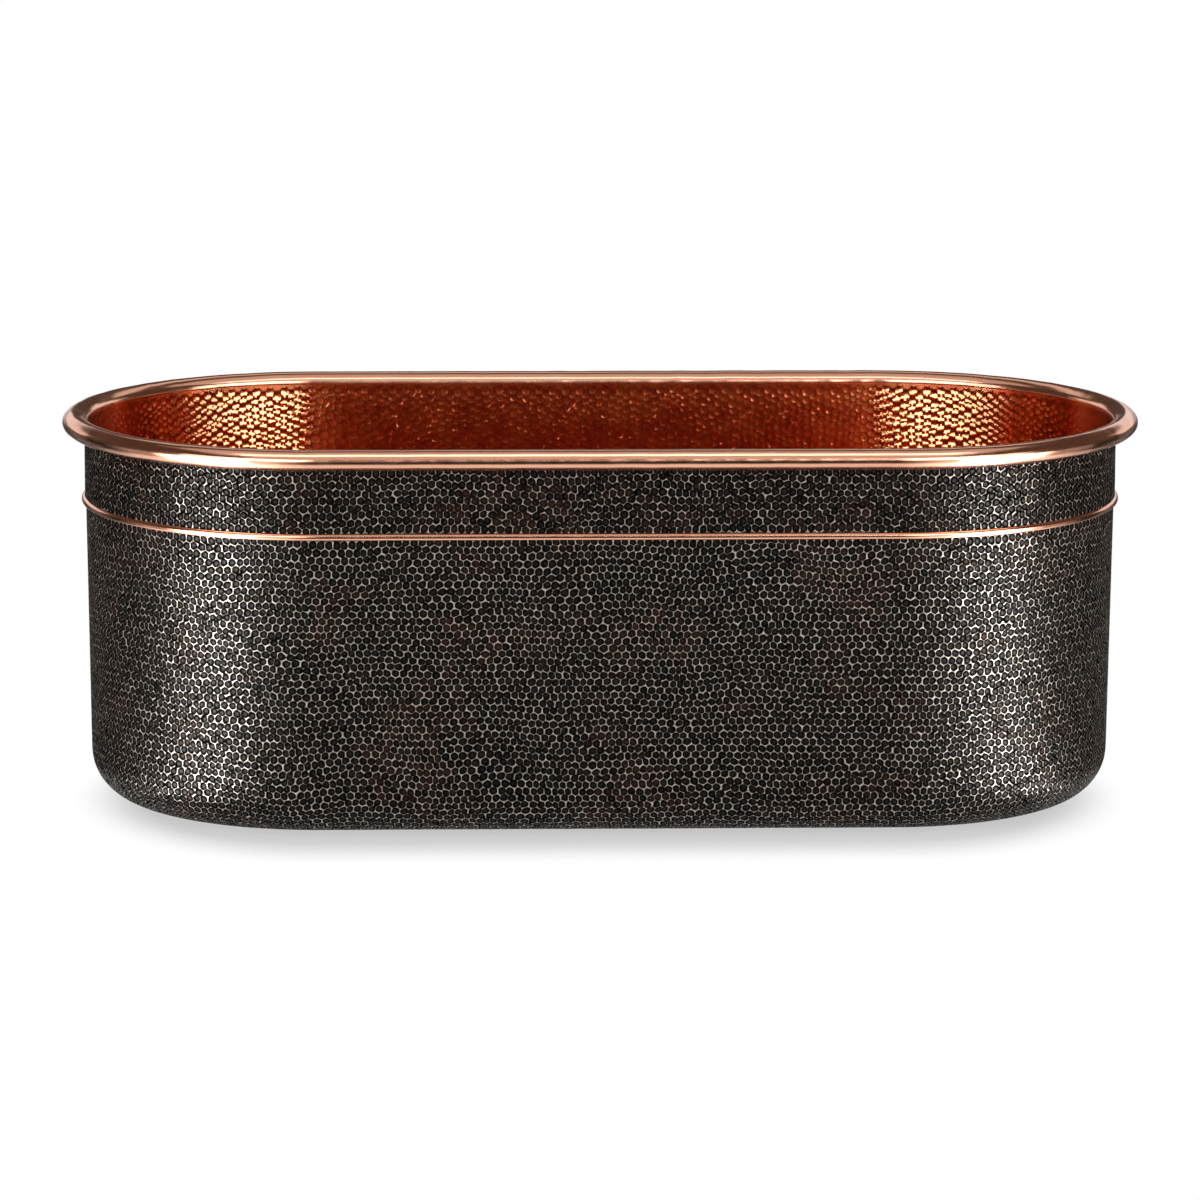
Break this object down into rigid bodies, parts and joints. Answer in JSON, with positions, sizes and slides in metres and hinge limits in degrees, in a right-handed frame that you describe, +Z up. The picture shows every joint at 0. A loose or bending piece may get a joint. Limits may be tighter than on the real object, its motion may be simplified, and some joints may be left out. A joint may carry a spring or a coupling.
{
  "type": "freestanding bathtub",
  "caption": "Freestanding double-skinned copper bathtub: racetrack plan, rolled rim, upright collar over a bead, dark hammered skirt, bright hammered basin, lift-out stopper, levelling feet.",
  "frame": {"origin": "middle of the footprint, on the floor that the feet stand on", "axes": "+X along the tub, +Y across it towards the back, +Z up"},
  "size_m": [1.83, 0.866, 0.672],
  "materials": {
    "patina_copper": "hammered copper with a dark brown patina, worn pale along the ridges between the hammer marks",
    "liner_copper": "hammered copper, polished",
    "polished_copper": "smooth copper, satin polish",
    "waste_copper": "copper plated, satin",
    "brass": "bare cast brass",
    "steel": "bare mild steel, primed grey",
    "zinc_plate": "zinc plated",
    "black_rubber": "black rubber, matt",
    "white_plastic": "white polyethylene"
  },
  "bodies": {
    "tub": {"rim_roll": "polished_copper", "rim_core": "steel", "collar_band": "patina_copper", "bead_band": "polished_copper", "outer_skirt": "patina_copper", "inner_liner": "liner_copper", "base_plate_left": "zinc_plate", "base_plate_right": "zinc_plate", "skirt_screws": "zinc_plate", "long_rail_front": "steel", "long_rail_back": "steel", "cross_rail_left": "steel", "cross_rail_inner_left": "steel", "cross_rail_inner_right": "steel", "cross_rail_right": "steel", "liner_pads": "black_rubber", "foot_weld_nuts": "steel", "foot_lock_nuts": "zinc_plate", "waste_flange": "waste_copper", "waste_upper_seal": "black_rubber", "waste_lower_seal": "black_rubber", "waste_slip_washer": "white_plastic", "waste_back_nut": "brass", "waste_tail": "brass", "waste_tail_seal": "black_rubber", "waste_tail_nut": "brass", "stopper_guide": "steel"},
    "stopper": {"stopper_cap": "waste_copper", "stopper_seal": "black_rubber"},
    "foot_1": {"foot_stem_1": "zinc_plate", "foot_pad_1": "black_rubber"},
    "foot_2": {"foot_stem_2": "zinc_plate", "foot_pad_2": "black_rubber"},
    "foot_3": {"foot_stem_3": "zinc_plate", "foot_pad_3": "black_rubber"},
    "foot_4": {"foot_stem_4": "zinc_plate", "foot_pad_4": "black_rubber"}
  },
  "joints": [
    {"name": "stopper_lift", "type": "slide", "parent": "tub", "child": "stopper", "axis": [0, 0, 1], "range_m": [0, 0.01]},
    {"name": "foot_1_screw", "type": "slide", "parent": "tub", "child": "foot_1", "axis": [0, 0, 1], "range_m": [-0.015, 0]},
    {"name": "foot_2_screw", "type": "slide", "parent": "tub", "child": "foot_2", "axis": [0, 0, 1], "range_m": [-0.015, 0]},
    {"name": "foot_3_screw", "type": "slide", "parent": "tub", "child": "foot_3", "axis": [0, 0, 1], "range_m": [-0.015, 0]},
    {"name": "foot_4_screw", "type": "slide", "parent": "tub", "child": "foot_4", "axis": [0, 0, 1], "range_m": [-0.015, 0]}
  ]
}
